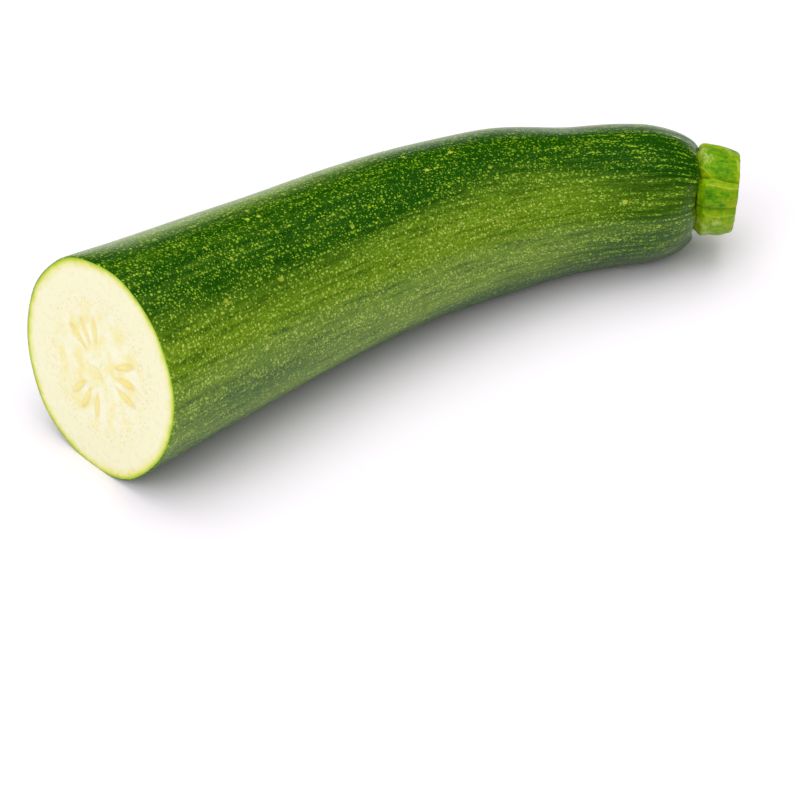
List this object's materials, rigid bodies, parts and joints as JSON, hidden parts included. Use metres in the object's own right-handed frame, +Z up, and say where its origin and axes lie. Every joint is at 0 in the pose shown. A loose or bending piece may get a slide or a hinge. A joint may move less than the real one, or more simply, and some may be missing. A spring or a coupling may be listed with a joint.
{
  "type": "courgette",
  "caption": "Stalk end of a green courgette cut straight across, lying on its side, with pale flesh and seeds in the cut face and a short ribbed stub of stalk.",
  "frame": {"origin": "middle of the box's footprint, on the surface that the courgette lies on", "axes": "+X along the courgette from the cut face to the stalk, +Z up"},
  "size_m": [0.171, 0.0596, 0.0472],
  "materials": {
    "skin": "satin, dark green with fine yellow-green flecks",
    "flesh": "moist, cream with a yellow-green rim and pale yellow seeds",
    "stalk": "satin, yellow-green with darker and paler streaks"
  },
  "bodies": {
    "root": {"fruit": "skin", "stalk": "stalk"}
  },
  "joints": []
}
